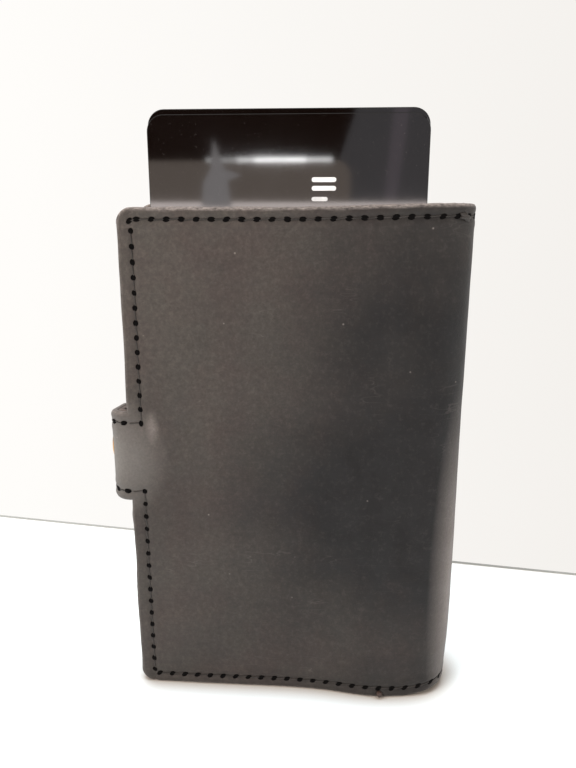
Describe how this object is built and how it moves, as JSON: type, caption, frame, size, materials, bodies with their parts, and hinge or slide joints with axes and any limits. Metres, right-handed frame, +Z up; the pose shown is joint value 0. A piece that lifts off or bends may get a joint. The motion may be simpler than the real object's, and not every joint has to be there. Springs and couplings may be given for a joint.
{
  "type": "card holder",
  "caption": "Slim metal pop-up card case in a folding stitched leather cover, with a side strap, a magnetic snap and cards raised by a lever.",
  "frame": {"origin": "middle of the footprint, on the surface that the cover's lower edge stands on", "axes": "+Z up along the cards' long side, +X towards the spine, -Y out of the back panel that carries the case"},
  "size_m": [0.0746, 0.0168, 0.1233],
  "materials": {
    "cover_leather": "dark brown-black waxed pull-up leather, matte, with rubbed lighter patches",
    "lining_leather": "same leather used flesh side in, matte, with pale raw cut edges",
    "pocket_leather": "thin dark brown leather, matte",
    "seam_thread": "black waxed polyester thread",
    "case_aluminium": "satin anodised extruded aluminium",
    "black_plastic": "black injection-moulded plastic, fine matte grain",
    "card_plastic": "glossy black laminated card",
    "felt": "dark grey needle felt",
    "bonding_foam": "thin double-sided bonding pad",
    "brass": "polished brass",
    "pin_steel": "bright steel wire pin",
    "magnet_nickel": "nickel-plated magnet"
  },
  "bodies": {
    "holder": {"back_cover": "cover_leather", "back_lining": "lining_leather", "back_stitching": "seam_thread", "bonding_pad": "bonding_foam", "case_sleeve": "case_aluminium", "bottom_cap": "black_plastic", "lever_pin": "pin_steel", "side_guide_left": "black_plastic", "side_guide_right": "black_plastic", "grip_strip_left": "felt", "grip_strip_right": "felt", "wall_felt": "felt"},
    "spine": {"spine_cover": "cover_leather", "spine_lining": "lining_leather", "spine_bend_back": "cover_leather", "spine_bend_front": "cover_leather"},
    "flap": {"flap_cover": "cover_leather", "flap_lining": "lining_leather", "flap_stitching": "seam_thread", "pocket_lower": "pocket_leather", "pocket_upper": "pocket_leather", "pocket_stitching": "seam_thread", "flap_tab": "cover_leather", "tab_magnet": "magnet_nickel"},
    "strap": {"strap_bend": "cover_leather", "strap_cover": "cover_leather", "strap_lining": "lining_leather", "strap_stitching": "seam_thread", "snap_cap": "brass", "snap_magnet": "magnet_nickel"},
    "lever": {"ejector_lever": "black_plastic"},
    "lifter": {"card_lifter": "black_plastic"},
    "front_card": {"front_card": "card_plastic"},
    "rear_card": {"rear_card": "card_plastic"}
  },
  "joints": [
    {"name": "spine_back_fold", "type": "hinge", "parent": "holder", "child": "spine", "pos_m": [0.03478, -0.00588, 0], "axis": [0, 0, -1], "range_deg": [0, 90], "deforming": ["spine_bend_back"]},
    {"name": "spine_front_fold", "type": "hinge", "parent": "spine", "child": "flap", "pos_m": [0.03478, 0.00588, 0], "axis": [0, 0, -1], "range_deg": [0, 90], "deforming": ["spine_bend_front"]},
    {"name": "strap_fold", "type": "hinge", "parent": "holder", "child": "strap", "pos_m": [-0.03442, -0.00652, 0], "axis": [0, 0, 1], "range_deg": [0, 90], "deforming": ["strap_bend"]},
    {"name": "lever_swing", "type": "hinge", "parent": "holder", "child": "lever", "pos_m": [-0.026, 0, 0.01], "axis": [0, 1, 0], "range_deg": [0, 29.79]},
    {"name": "lifter_slide", "type": "slide", "parent": "holder", "child": "lifter", "axis": [0, 0, 1], "range_m": [-0.0226, 0]},
    {"name": "front_card_slide", "type": "slide", "parent": "lifter", "child": "front_card", "axis": [0, 0, 1], "range_m": [0, 0.075]},
    {"name": "rear_card_slide", "type": "slide", "parent": "lifter", "child": "rear_card", "axis": [0, 0, 1], "range_m": [0, 0.075]}
  ],
  "couplings": [
    {"joint": "spine_front_fold", "follows": "spine_back_fold", "ratio": 1},
    {"joint": "strap_fold", "follows": "spine_back_fold", "ratio": 1},
    {"joint": "lever_swing", "follows": "lifter_slide", "rad_per_m": -23.007}
  ]
}
